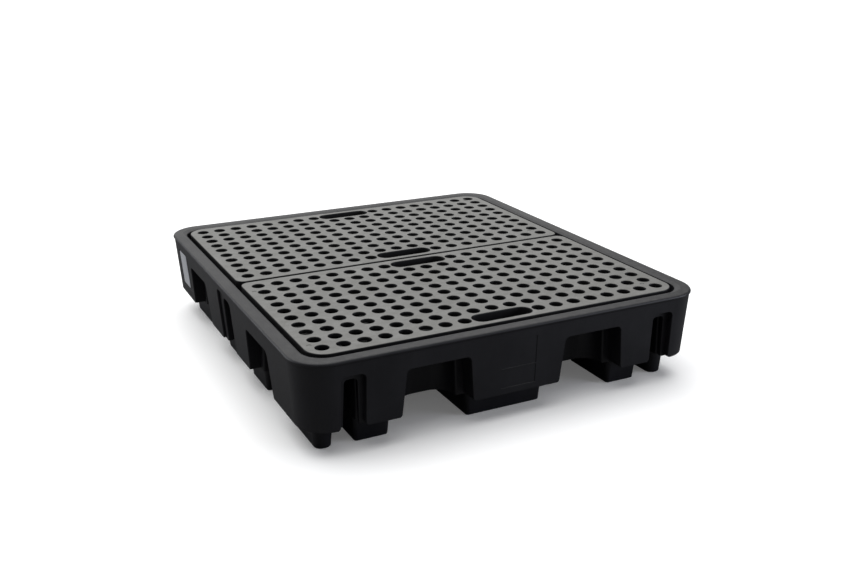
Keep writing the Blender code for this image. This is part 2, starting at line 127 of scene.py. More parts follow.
FORK_X = 0.246
FORK_Y = 0.313
FORK_TOP = 0.217
FORK_HALF_TOP = 0.0955
FORK_HALF_BOTTOM = 0.1060
FORK_ROUND = 0.015
FORK_DEPTH = 0.069          # rim edge to the wall inside a front or back opening
BLOCK_ROUND = 0.010
ALCOVE_DEPTH = 0.133
ALCOVE_HALF_TOP = 0.075
ALCOVE_HALF_BOTTOM = 0.082
ALCOVE_ROUND = 0.057
ALCOVE_DRAFT = 0.008
MOUTH_OVERLAP = 0.012       # how far an alcove's cutter starts in front of the tub wall

SLOT_X = 0.492
SLOT_TOP = 0.213
SLOT_HALF_TOP = 0.0185
SLOT_HALF_BOTTOM = 0.0225
FRAME_TOP = 0.231
FRAME_HALF = 0.035
SIDE_SLOT_TOP = 0.230
SIDE_SLOT_HALF_TOP = 0.036
SIDE_SLOT_HALF_BOTTOM = 0.040
SIDE_FRAME_TOP = 0.250
SIDE_FRAME_HALF = 0.068
FRAME_RECESS = 0.020
SIDE_FRAME_RECESS = 0.008
FRAME_ROUND = 0.015
SLOT_LOW_ROUND = BLOCK_ROUND / 3
SLOT_ROUND = 0.6            # top corner radius of a slot, as a share of its half width
SLOT_BACK_ROUND = 0.9       # inner corner radius, as a share of its half width
SLOT_DEPTH = 0.130

FOOT_FRONT = 0.606
FOOT_SIDE = 0.571
FOOT_BACK = 0.409
FOOT_INNER = 0.362
SLOT_GROOVE_INNER = 0.462
SLOT_GROOVE_OUTER = 0.5225
CENTRE_FOOT = 0.121
SIDE_FOOT = 0.200
SIDE_GROOVE = 0.056
FOOT_DRAFT = 0.007
FOOT_ROUND = 0.010
CORNER_FOOT_ROUND = 0.022
SOLE_ROUND = 0.004
WELL_ROUND = 0.7            # share of the wall that a well's corner radius is smaller by
SMALLEST_ROUND = 0.001

POST_X = 0.243
POST_Y = 0.305
POST_BASE = 0.052
POST_TOP = 0.040
POST_SIDES = 32

PANEL_HALF = 0.055
PANEL_DEPTH = 0.0015
PANEL_ROUND = 0.002
PANEL_EDGE = 0.0008
PANEL_SPANS = ((0.101, 0.157), (0.160, 0.243))
LABEL_Y = (0.433, 0.552)
LABEL_SHEET_Y = (0.466, 0.549)
LABEL_Z = (0.119, 0.241)
LABEL_RECESS = 0.0020
LABEL_THICKNESS = 0.0012
LABEL_MARGIN = 0.003
LABEL_CORNER = 0.005
LABEL_EDGE = ((-0.0005, 0.0), (-0.0002, 0.0001), (0.0, 0.0004))     # (outwards, behind the face)

# ---------------------------------------------------------------- grate sizes
GRATE_SKIN = 0.010
GRATE_ROUND = 0.057
SEAM_ROUND = 0.028
GRATE_EDGE = 0.0022
PITCH_X = 0.0597
PITCH_Y = 0.0592
COLUMNS = 19
ROWS = 10
HOLE_RADIUS = 0.0190
HOLE_CHAMFER = 0.0022
HAND_SLOT_LENGTH = 0.188
HAND_SLOT_WIDTH = 0.057
HAND_SLOT_CHAMFER = 0.00286
HAND_SLOT_COLUMNS = 1
RIB_EVERY = 3
RIB = 0.006
EDGE_RIB = 0.010
COLLAR = 0.006              # solid edge around a hand slot, under the deck
POCKET_ROUND = 0.006
MARK_RADIUS = 0.0072        # round ejector marks left in the top of the grates
MARK_DEPTH = 0.0007
MARKS = {"front": ((-0.563, -0.560), (0.510, -0.557), (-0.564, -0.099)),
         "rear": ((0.510, 0.085), (0.513, 0.562))}


# ---------------------------------------------------------------- outlines
def quarter(steps):
    """Angles from 0 to a right angle."""
    return [math.pi / 2 * step / steps for step in range(steps + 1)]


def rounded_rect(half_x, half_y, radius, steps=CORNER_STEPS, centre=(0.0, 0.0)):
    points = []
    for turn, (sx, sy) in enumerate(((1, 1), (-1, 1), (-1, -1), (1, -1))):
        cx = centre[0] + sx * (half_x - radius)
        cy = centre[1] + sy * (half_y - radius)
        for angle in quarter(steps):
            angle += math.pi / 2 * turn
            points.append((cx + radius * math.cos(angle), cy + radius * math.sin(angle)))
    return points


def two_radius_rect(half_x, low_y, high_y, low_radius, high_radius):
    points = []
    corners = ((1, high_y, high_radius), (-1, high_y, high_radius),
               (-1, low_y, low_radius), (1, low_y, low_radius))
    for turn, (sx, edge_y, radius) in enumerate(corners):
        sy = 1 if turn < 2 else -1
        for angle in quarter(CORNER_STEPS):
            angle += math.pi / 2 * turn
            points.append((sx * (half_x - radius) + radius * math.cos(angle),
                           edge_y - sy * radius + radius * math.sin(angle)))
    return points


def arch(half_top, half_bottom, top, radius, low_radius):
    """Doorway outline with rounded top corners and flared lower ones, as (u, z) points."""
    right = [(half_bottom + low_radius, SKIRT_BOTTOM - CLEAR)]
    for angle in quarter(ARCH_LOW_STEPS):
        right.append((half_bottom + low_radius * (1 - math.sin(angle)),
                      SKIRT_BOTTOM + low_radius * (1 - math.cos(angle))))
    for angle in quarter(ARCH_TOP_STEPS):
        right.append((half_top - radius * (1 - math.cos(angle)),
                      top - radius * (1 - math.sin(angle))))
    return right + [(-u, z) for u, z in reversed(right)]


def alcove(half, back, radius, front, mouth):
    """Plan of a recess with a flared mouth and rounded inner corners, as (u, depth) points."""
    radius = min(radius, back - mouth - MOUTH_ROUND)
    right = [(half + MOUTH_ROUND, front)]
    for angle in quarter(ROLL_STEPS):
        right.append((half + MOUTH_ROUND * (1 - math.sin(angle)),
                      mouth - NUDGE + MOUTH_ROUND * (1 - math.cos(angle))))
    for angle in quarter(ALCOVE_STEPS):
        right.append((half - radius * (1 - math.cos(angle)), back - radius * (1 - math.sin(angle))))
    return right + [(-u, depth) for u, depth in reversed(right)]


def stadium(length, width, centre):
    radius = width / 2
    points = []
    for side, start in ((1, -math.pi / 2), (-1, math.pi / 2)):
        for step in range(STADIUM_STEPS + 1):
            angle = start + math.pi * step / STADIUM_STEPS
            points.append((centre[0] + side * (length / 2 - radius) + radius * math.cos(angle),
                           centre[1] + radius * math.sin(angle)))
    return points


def circle(radius, centre, sides):
    turn = [2 * math.pi * (i + 0.5) / sides for i in range(sides)]
    return [(centre[0] + radius * math.cos(a), centre[1] + radius * math.sin(a)) for a in turn]


# ---------------------------------------------------------------- mesh helpers
def ring_at(outline, z):
    return [(x, y, z) for x, y in outline]


def make_object(name, lofts, closed=False):
    """One object from lofts, each a list of equal-length rings skinned in order."""
    bm = bmesh.new()
    for rings in lofts:
        loops = [[bm.verts.new(point) for point in ring] for ring in rings]
        pairs = list(zip(loops, loops[1:]))
        if closed:
            pairs.append((loops[-1], loops[0]))
        else:
            bm.faces.new(loops[0])
            bm.faces.new(loops[-1])
        count = len(loops[0])
        for lower, upper in pairs:
            for i in range(count):
                j = (i + 1) % count
                bm.faces.new((lower[i], lower[j], upper[j], upper[i]))
    bmesh.ops.recalc_face_normals(bm, faces=bm.faces)
    mesh = bpy.data.meshes.new(name)
    bm.to_mesh(mesh)
    bm.free()
    obj = bpy.data.objects.new(name, mesh)
    bpy.context.scene.collection.objects.link(obj)
    return obj


def combine(obj, lofts, operation="DIFFERENCE", closed=False):
    """Cut lofts from obj, or join them to it, and keep the result."""
    tool = lofts
    if isinstance(lofts, list):
        tool = make_object("tool", lofts, closed)
    modifier = obj.modifiers.new("combine", "BOOLEAN")
    modifier.object = tool
    modifier.operation = operation
    modifier.solver = "EXACT"
    bake_modifiers(obj)
    bpy.data.objects.remove(tool)


def bake_modifiers(obj):
    bpy.context.view_layer.update()
    evaluated = obj.evaluated_get(bpy.context.evaluated_depsgraph_get())
    mesh = bpy.data.meshes.new_from_object(evaluated)
    obj.modifiers.clear()
    obj.data = mesh


def finish_mesh(obj):
    """Tidy the Boolean result and shade it with flat flats and smooth rolled edges."""
    bm = bmesh.new()
    bm.from_mesh(obj.data)
    bmesh.ops.remove_doubles(bm, verts=bm.verts, dist=MERGE_DISTANCE)
    bmesh.ops.dissolve_degenerate(bm, edges=bm.edges, dist=MERGE_DISTANCE)
    bm.to_mesh(obj.data)
    bm.free()
    obj.data.shade_smooth()
    obj.data.set_sharp_from_angle(angle=SHARP_ANGLE)
    weighted = obj.modifiers.new("weighted_normals", "WEIGHTED_NORMAL")
    weighted.keep_sharp = True
    weighted.weight = NORMAL_WEIGHT
    bake_modifiers(obj)


def show(obj, body, node, material):
    obj.data.materials.clear()
    obj.data.materials.append(material)
    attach(obj, body)
    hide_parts(node)


# ---------------------------------------------------------------- the four sides
def to_side(side, u, depth, z):
    """World point from a place along one side, a depth in from its rim edge, and a height."""
    if side == "front":
        return (u, -HALF_Y + depth, z)
    if side == "back":
        return (u, HALF_Y - depth, z)
    if side == "left":
        return (-HALF_X + depth, u, z)
    return (HALF_X - depth, u, z)


FORK_PLACES = [(side, sign * place)
               for sides, place in ((("front", "back"), FORK_X), (("left", "right"), FORK_Y))
               for side in sides for sign in (-1, 1)]
FRONT_SLOTS = [(side, sign * SLOT_X) for side in ("front", "back") for sign in (-1, 1)]
SIDE_SLOTS = [("left", 0.0), ("right", 0.0)]


def fixed(depth):
    return lambda z: depth


def skirt_lean(z):
    """0 at the top of the skirt, 1 at its lower edge."""
    return (SKIRT_TOP - z) / (SKIRT_TOP - SKIRT_BOTTOM)


def below_skirt(side, depth):
    """Depth that follows the skirt's taper, some way under its face."""
    draft = SKIRT_DRAFT_Y if side in ("front", "back") else SKIRT_DRAFT_X
    return lambda z: SKIRT_INSET + draft * skirt_lean(z) + depth


def doorway(side, centre, outline, profile):
    """Loft into a side. outline(grow) gives its points; profile lists (grow, depth at a height)."""
    rings = []
    for grow, reach in profile:
        rings.append([to_side(side, centre + u, reach(z), z) for u, z in outline(grow)])
    return rings


def rolled(side, radius, face_depth, far):
    """Profile of a straight hole whose edge rolls out onto a face that follows the skirt."""
    profile = [(radius, fixed(-CLEAR))]
    for angle in quarter(ROLL_STEPS):
        profile.append((radius * (1 - math.sin(angle)),
                        below_skirt(side, face_depth - NUDGE + radius * (1 - math.cos(angle)))))
    return profile + [(0.0, far)]


def fork_outline(grow):
    return arch(FORK_HALF_TOP + grow, FORK_HALF_BOTTOM + grow, FORK_TOP + grow,
                FORK_ROUND + grow, BLOCK_ROUND)


def fork_depth(side):
    return FORK_DEPTH if side in ("front", "back") else TUB_WALL_DEPTH


def fork_doorways():
    return [doorway(side, u, fork_outline, rolled(side, FACE_ROUND, 0.0, fixed(fork_depth(side))))
            for side, u in FORK_PLACES]


def fork_walls(beyond):
    """The walls beside, above and behind each fork opening, left standing in what is hollow."""
    return [doorway(side, u, fork_outline,
                    [(WALL, fixed(-CLEAR)), (WALL, fixed(fork_depth(side) + beyond))])
            for side, u in FORK_PLACES]


def slot_kinds():
    """Places, slot half widths and top, frame half width and top, and the frame's depth."""
    return ((FRONT_SLOTS, SLOT_HALF_TOP, SLOT_HALF_BOTTOM, SLOT_TOP,
             FRAME_HALF, FRAME_TOP, FRAME_RECESS),
            (SIDE_SLOTS, SIDE_SLOT_HALF_TOP, SIDE_SLOT_HALF_BOTTOM, SIDE_SLOT_TOP,
             SIDE_FRAME_HALF, SIDE_FRAME_TOP, SIDE_FRAME_RECESS))


def slot_doorways():
    lofts = []
    for places, half_top, half_bottom, top, _, _, sunk in slot_kinds():
        def outline(grow, half_top=half_top, half_bottom=half_bottom, top=top):
            return arch(half_top + grow, half_bottom + grow, top + grow,
                        half_top * SLOT_ROUND + grow, SLOT_LOW_ROUND)
        for side, centre in places:
            profile = rolled(side, SLOT_EDGE_ROUND, sunk, fixed(TUB_WALL_DEPTH))
            lofts.append(doorway(side, centre, outline, profile))
    return lofts


def frame_doorways(standing=False):
    """Shallow frames around the slots, or the walls left standing behind them."""
    lofts = []
    for places, _, _, _, half, top, sunk in slot_kinds():
        def outline(grow, half=half, top=top):
            return arch(half + grow, half + grow, top + grow, FRAME_ROUND + grow, BLOCK_ROUND)
        for side, centre in places:
            profile = rolled(side, FACE_ROUND, 0.0, below_skirt(side, sunk))
            if standing:
                profile = [(WALL, fixed(-CLEAR)), (WALL, fixed(TUB_WALL_DEPTH + CLEAR))]
            lofts.append(doorway(side, centre, outline, profile))
    return lofts


def alcove_lofts(grow=0.0):
    """Recesses in the tub wall behind the fork openings and the slots."""
    kinds = [(FORK_PLACES, ALCOVE_HALF_TOP, ALCOVE_HALF_BOTTOM, FORK_TOP, ALCOVE_DEPTH, ALCOVE_ROUND)]
    for places, half_top, half_bottom, top, _, _, _ in slot_kinds():
        kinds.append((places, half_top, half_bottom, top, SLOT_DEPTH, half_top * SLOT_BACK_ROUND))
    bottom = SKIRT_BOTTOM - CLEAR
    front = TUB_WALL_DEPTH - MOUTH_OVERLAP - grow
    lofts = []
    for places, half_top, half_bottom, top, back, radius in kinds:
        ceiling = min(CEILING_ROUND, half_top * CEILING_SHARE)
        levels = [(bottom, 0.0)]
        for angle in quarter(CEILING_STEPS):
            levels.append((top + grow - ceiling * (1 - math.sin(angle)),
                           ceiling * (1 - math.cos(angle))))
        for side, centre in places:
            mouth = fork_depth(side) if places is FORK_PLACES else TUB_WALL_DEPTH
            rings = []
            for z, shrink in levels:
                rise = (z - bottom) / (top + grow - bottom)
                half = half_bottom + (half_top - half_bottom) * rise - shrink
                depth = back - ALCOVE_DRAFT * rise - shrink
                plan = alcove(half + grow, depth + grow, radius + grow - shrink, front, mouth)
                rings.append([to_side(side, centre + u, d, z) for u, d in plan])
            lofts.append(rings)
    return lofts


# ---------------------------------------------------------------- sump body
def inset_ring(inset, z, radius):
    return ring_at(rounded_rect(HALF_X - inset, HALF_Y - inset, radius), z)


def skirt_ring(extra, z):
    """Outside of the skirt at a height, or some way in from it."""
    lean = skirt_lean(z)
    half_x = HALF_X - SKIRT_INSET - SKIRT_DRAFT_X * lean - extra
    half_y = HALF_Y - SKIRT_INSET - SKIRT_DRAFT_Y * lean - extra
    top_radius = RIM_RADIUS - SKIRT_INSET
    radius = top_radius - (top_radius - BOTTOM_RADIUS) * lean - extra
    return ring_at(rounded_rect(half_x, half_y, radius), z)


def body_shell():
    """Solid of the outside: skirt, rolled lip and flat rim."""
    rings = []
    for angle in quarter(ROLL_STEPS):
        rings.append(skirt_ring(SKIRT_ROUND * (1 - math.sin(angle)),
                                SKIRT_BOTTOM + SKIRT_ROUND * (1 - math.cos(angle))))
    rings.append(skirt_ring(0.0, SKIRT_TOP - FLARE_START))
    rings.append(skirt_ring(-SKIRT_FLARE, SKIRT_TOP - SKIRT_FLARE))
    rings.append(inset_ring(LIP_BEVEL, LIP_BOTTOM - LIP_BEVEL_DROP, RIM_RADIUS - LIP_BEVEL))
    rings.append(inset_ring(0.0, LIP_BOTTOM + LIP_BEVEL_RISE, RIM_RADIUS))
    for angle in quarter(LIP_STEPS):
        inset = LIP_ROUND * (1 - math.cos(angle))
        z = HEIGHT - LIP_ROUND * (1 - math.sin(angle))
        rings.append(inset_ring(inset, z, RIM_RADIUS - inset))
    return make_object("sump_shell", [rings])


def deck_recess():
    """Ledge for the grates, with a sloped and softened inner edge on the rim."""
    wall = RIM_FLAT + RIM_SLOPE
    steps = [(wall, HEIGHT - DECK_DEPTH)]
    steps += [(wall - out, HEIGHT - SLOPE_DROP + rise) for out, rise in SLOPE_FOOT]
    steps += [(RIM_FLAT + inwards, HEIGHT + rise) for inwards, rise in RIM_EDGE]
    return [[inset_ring(inset, z, DECK_RADIUS) for inset, z in steps]]


def foot_plan():
    """Floor rectangles of the feet: (low x, high x, low y, high y, corner radius)."""
    plan = [(-CENTRE_FOOT, CENTRE_FOOT, -SIDE_FOOT, SIDE_FOOT, FOOT_ROUND)]
    strips = ((FOOT_INNER, SLOT_GROOVE_INNER, FOOT_ROUND),
              (SLOT_GROOVE_OUTER, FOOT_SIDE, CORNER_FOOT_ROUND))
    for sy in (-1, 1):
        low_y, high_y = sorted((sy * FOOT_BACK, sy * FOOT_FRONT))
        plan.append((-CENTRE_FOOT, CENTRE_FOOT, low_y, high_y, FOOT_ROUND))
        for sx in (-1, 1):
            for near, far, radius in strips:
                plan.append((*sorted((sx * near, sx * far)), low_y, high_y, radius))
            plan.append((*sorted((sx * FOOT_INNER, sx * FOOT_SIDE)),
                         *sorted((sy * SIDE_GROOVE, sy * SIDE_FOOT)), FOOT_ROUND))
    return plan


def foot_lofts(inset=0.0, floor=0.0, top=SKIRT_BOTTOM + OVERLAP):
    """Tapered feet with a rolled sole, or with an inset the wells inside them."""
    levels = [(floor + SOLE_ROUND * (1 - math.cos(angle)), -SOLE_ROUND * (1 - math.sin(angle)))
              for angle in quarter(SOLE_STEPS)]
    levels.append((top, FOOT_DRAFT))
    lofts = []
    for low_x, high_x, low_y, high_y, radius in foot_plan():
        centre = ((low_x + high_x) / 2, (low_y + high_y) / 2)
        rings = []
        for z, grow in levels:
            half_x = (high_x - low_x) / 2 + grow - inset
            half_y = (high_y - low_y) / 2 + grow - inset
            corner = max(radius + grow - inset * WELL_ROUND, SMALLEST_ROUND)
            rings.append(ring_at(rounded_rect(half_x, half_y, corner, FOOT_STEPS, centre), z))
        lofts.append(rings)
    return lofts


def post_lofts(inset, bottom, top):
    """Tapered posts that hold the grates up, at the channels' crossings and along the seam."""
    places = [(sx * POST_X, sy * POST_Y) for sx in (-1, 1) for sy in (-1, 1)]
    places += [(sx * POST_X, 0.0) for sx in (-1, 1)]
    places += [(0.0, sy * POST_Y) for sy in (-1, 1)]
    return [[ring_at(circle(POST_BASE - inset, place, POST_SIDES), bottom),
             ring_at(circle(POST_TOP - inset, place, POST_SIDES), top)] for place in places]


def tub_cavity():
    """Liquid space: the tub, less the walls of the alcoves and the posts, plus the foot wells."""
    top_inset = TUB_WALL_DEPTH + TUB_WALL
    floor = SKIRT_BOTTOM + WALL
    rings = []
    for angle in quarter(ROLL_STEPS):
        inset = top_inset + TUB_DRAFT + TUB_FLOOR_ROUND * (1 - math.sin(angle))
        rings.append(inset_ring(inset, floor + TUB_FLOOR_ROUND * (1 - math.cos(angle)),
                                TUB_RADIUS - TUB_DRAFT))
    ledge = HEIGHT - DECK_DEPTH
    for out, z in ((0.0, ledge - LEDGE_BEVEL), (LEDGE_BEVEL, ledge + NUDGE),
                   (LEDGE_BEVEL, ledge + OVERLAP)):
        rings.append(inset_ring(top_inset - out, z, TUB_RADIUS + out))
    cavity = make_object("tub_cavity", [rings])
    combine(cavity, fork_walls(WALL))
    combine(cavity, alcove_lofts(grow=WALL))
    combine(cavity, post_lofts(0.0, SKIRT_BOTTOM, HEIGHT - DECK_DEPTH))
    combine(cavity, foot_lofts(WALL, WALL, floor + OVERLAP), "UNION")
    return cavity


def skirt_channel():
    """Hollow between the skirt and the tub wall, open underneath, less the openings' walls."""
    bottom = SKIRT_BOTTOM - CLEAR
    ceiling = HEIGHT - RIM_THICKNESS
    ledge = HEIGHT - DECK_DEPTH - LEDGE
    outer_x = HALF_X - SKIRT_INSET - SKIRT_DRAFT_X - SKIN
    outer_y = HALF_Y - SKIRT_INSET - SKIRT_DRAFT_Y - SKIN
    wall_radius = RIM_RADIUS - RIM_FLAT
    rings = [
        ring_at(rounded_rect(outer_x, outer_y, BOTTOM_RADIUS - SKIN), bottom),
        inset_ring(SKIRT_INSET + SKIN, ceiling, RIM_RADIUS - SKIRT_INSET - SKIN),
        inset_ring(RIM_FLAT, ceiling, wall_radius),
        inset_ring(RIM_FLAT, ledge + RIM_SLOPE, wall_radius),
        inset_ring(TUB_WALL_DEPTH, ledge, wall_radius),
        inset_ring(TUB_WALL_DEPTH, bottom, wall_radius),
    ]
    channel = make_object("skirt_channel", [rings], closed=True)
    combine(channel, fork_walls(CLEAR))
    combine(channel, frame_doorways(standing=True))
    return channel


def panel_lofts():
    """Blank panels: two on the front's middle block, one for the label on the left side."""
    spans = [("front", -PANEL_HALF, PANEL_HALF, low, high, PANEL_DEPTH) for low, high in PANEL_SPANS]
    spans.append(("left", *LABEL_Y, *LABEL_Z, LABEL_RECESS))
    lofts = []
    for side, low_u, high_u, low_z, high_z, depth in spans:
        middle = ((low_u + high_u) / 2, (low_z + high_z) / 2)

        def outline(grow, low_u=low_u, high_u=high_u, low_z=low_z, high_z=high_z, middle=middle):
            return rounded_rect((high_u - low_u) / 2 + grow, (high_z - low_z) / 2 + grow,
                                PANEL_ROUND + grow, PANEL_STEPS, middle)
        profile = [(PANEL_EDGE, fixed(-CLEAR)), (PANEL_EDGE, below_skirt(side, -NUDGE)),
                   (0.0, below_skirt(side, depth))]
        lofts.append(doorway(side, 0.0, outline, profile))
    return lofts


def build_sump():
    body = body_shell()
    body.name = "moulded_sump"
    combine(body, foot_lofts(), "UNION")
    combine(body, deck_recess())
    combine(body, tub_cavity())
    combine(body, skirt_channel())
    combine(body, fork_doorways())
    combine(body, alcove_lofts())
    combine(body, frame_doorways())
    combine(body, slot_doorways())
    combine(body, post_lofts(WALL, SKIRT_BOTTOM - CLEAR, HEIGHT - DECK_DEPTH - WALL))
    combine(body, panel_lofts())
    finish_mesh(body)
    return body


# ---------------------------------------------------------------- grates
def rib_cells(low, high, centre, pitch, count):
    """Spans between the ribs, which stand between every few rows of holes."""
    line = 0.0 if count % 2 == 0 else RIB_EVERY / 2
    lines = []
    while line < (count - 1) / 2:
        lines += [line] if line == 0.0 else [-line, line]
        line += RIB_EVERY
    edges = [centre + pitch * line for line in sorted(lines)]
    starts = [low + EDGE_RIB] + [edge + RIB / 2 for edge in edges]
    ends = [edge - RIB / 2 for edge in edges] + [high - EDGE_RIB]
    return list(zip(starts, ends))


def hole_places(centre_y):
    places = []
    for row in range(ROWS):
        for column in range(COLUMNS):
            from_middle = column - (COLUMNS - 1) // 2
            if row in (0, ROWS - 1) and abs(from_middle) <= HAND_SLOT_COLUMNS:
                continue
            places.append((from_middle * PITCH_X, centre_y + (row - (ROWS - 1) / 2) * PITCH_Y))
    return places


def chamfered(outline, radius, bottom):
    """Loft of a hole that opens onto the deck with a rolled edge; outline(grow) gives its points."""
    rings = [ring_at(outline(0.0), bottom)]
    for angle in quarter(CHAMFER_STEPS):
        rings.append(ring_at(outline(radius * (1 - math.cos(angle))),
                             HEIGHT + NUDGE - radius * (1 - math.sin(angle))))
    rings.append(ring_at(outline(radius), HEIGHT + CLEAR))
    return rings


def split_cells(obj, centre_y):
    """Cut all faces along the lines midway between the holes, so that each holds few openings."""
    columns = [(i - (COLUMNS - 2) / 2) * PITCH_X for i in range(COLUMNS - 1)]
    rows = [centre_y + (i - (ROWS - 2) / 2) * PITCH_Y for i in range(ROWS - 1)]
    bm = bmesh.new()
    bm.from_mesh(obj.data)
    for axis, places in ((Vector((1, 0, 0)), columns), (Vector((0, 1, 0)), rows)):
        for place in places:
            geometry = bm.verts[:] + bm.edges[:] + bm.faces[:]
            bmesh.ops.bisect_plane(bm, geom=geometry, plane_co=axis * place, plane_no=axis)
    bm.to_mesh(obj.data)
    bm.free()


def build_grate(name, sign, marks):
    low_y, high_y = sorted((sign * SEAM_HALF, sign * GRATE_EDGE_Y))
    centre_y = (low_y + high_y) / 2
    low_radius, high_radius = (GRATE_ROUND, SEAM_ROUND) if sign < 0 else (SEAM_ROUND, GRATE_ROUND)
    levels = [(GRATE_BOTTOM, 0.0)]
    for angle in quarter(ROLL_STEPS):
        levels.append((HEIGHT - GRATE_EDGE * (1 - math.sin(angle)), GRATE_EDGE * (1 - math.cos(angle))))
    rings = []
    for z, inset in levels:
        outline = two_radius_rect(GRATE_HALF_X - inset, low_y + inset, high_y - inset,
                                  low_radius - inset, high_radius - inset)
        rings.append(ring_at(outline, z))
    grate = make_object(name, [rings])

    pockets = []
    for low_u, high_u in rib_cells(-GRATE_HALF_X, GRATE_HALF_X, 0.0, PITCH_X, COLUMNS):
        for low_v, high_v in rib_cells(low_y, high_y, centre_y, PITCH_Y, ROWS):
            middle = ((low_u + high_u) / 2, (low_v + high_v) / 2)
            outline = rounded_rect((high_u - low_u) / 2, (high_v - low_v) / 2,
                                   POCKET_ROUND, POCKET_STEPS, middle)
            pockets.append([ring_at(outline, GRATE_BOTTOM - CLEAR),
                            ring_at(outline, HEIGHT - GRATE_SKIN)])
    underside = make_object(name + "_pockets", pockets)
    ends = [(0.0, centre_y + end * (ROWS - 1) / 2 * PITCH_Y) for end in (-1, 1)]
    collars = []
    for end in ends:
        outline = stadium(HAND_SLOT_LENGTH + 2 * COLLAR, HAND_SLOT_WIDTH + 2 * COLLAR, end)
        collars.append([ring_at(outline, GRATE_BOTTOM - 2 * CLEAR),
                        ring_at(outline, HEIGHT - GRATE_SKIN / 2)])
    combine(underside, collars)
    combine(grate, underside)
    split_cells(grate, centre_y)

    bottom = GRATE_BOTTOM - CLEAR
    openings = []
    for place in hole_places(centre_y):
        def outline(grow, place=place):
            return circle(HOLE_RADIUS + grow, place, HOLE_SIDES)
        openings.append(chamfered(outline, HOLE_CHAMFER, bottom))
    for end in ends:
        def outline(grow, end=end):
            return stadium(HAND_SLOT_LENGTH + 2 * grow, HAND_SLOT_WIDTH + 2 * grow, end)
        openings.append(chamfered(outline, HAND_SLOT_CHAMFER, bottom))
    combine(grate, openings)
    dimples = []
    for mark in marks:
        def outline(grow, mark=mark):
            return circle(MARK_RADIUS + grow, mark, HOLE_SIDES)
        dimples.append(chamfered(outline, MARK_DEPTH / 2, HEIGHT - MARK_DEPTH))
    combine(grate, dimples)
    finish_mesh(grate)
    return grate


# ---------------------------------------------------------------- label
def build_label():
    """Blank self-adhesive film with rounded corners, lying in its recess on the left side."""
    middle = ((LABEL_SHEET_Y[0] + LABEL_SHEET_Y[1]) / 2, (LABEL_Z[0] + LABEL_Z[1]) / 2)
    half_u = (LABEL_SHEET_Y[1] - LABEL_SHEET_Y[0]) / 2
    half_z = (LABEL_Z[1] - LABEL_Z[0]) / 2 - LABEL_MARGIN
    back = LABEL_RECESS - NUDGE

    def outline(grow):
        return rounded_rect(half_u + grow, half_z + grow, LABEL_CORNER + grow, LABEL_STEPS, middle)

    face = back - LABEL_THICKNESS
    profile = [(grow, below_skirt("left", face + inwards)) for grow, inwards in LABEL_EDGE]
    profile.append((0.0, below_skirt("left", back)))
    label = make_object("label_sheet", [doorway("left", 0.0, outline, profile)])
    finish_mesh(label)
    return label


# ---------------------------------------------------------------- materials
UP_FROM = 0.75              # how upright a surface's normal has to be to count as facing up

SUMP_DARK = (0.0062, 0.0062, 0.0086)
SUMP_LIGHT = (0.0100, 0.0100, 0.0130)
SUMP_STREAK = (0.020, 0.020, 0.023)
SUMP_DUST = (0.024, 0.024, 0.024)
SUMP_SCUFF = (0.085, 0.085, 0.082)

GRATE_DARK = (0.112, 0.111, 0.102)
GRATE_LIGHT = (0.154, 0.153, 0.145)
GRATE_SPECK = (0.076, 0.076, 0.070)
GRATE_DUST = (0.25, 0.25, 0.245)
# painted shade: near black put on every grate face that doesn't point up, such as hole walls, seam and
# sides
GRATE_PAINTED_SHADE = (0.004, 0.004, 0.005)

LABEL_LIGHT = (0.56, 0.57, 0.60)
LABEL_DARK = (0.46, 0.47, 0.50)
LABEL_FIBRE = (0.40, 0.41, 0.44)


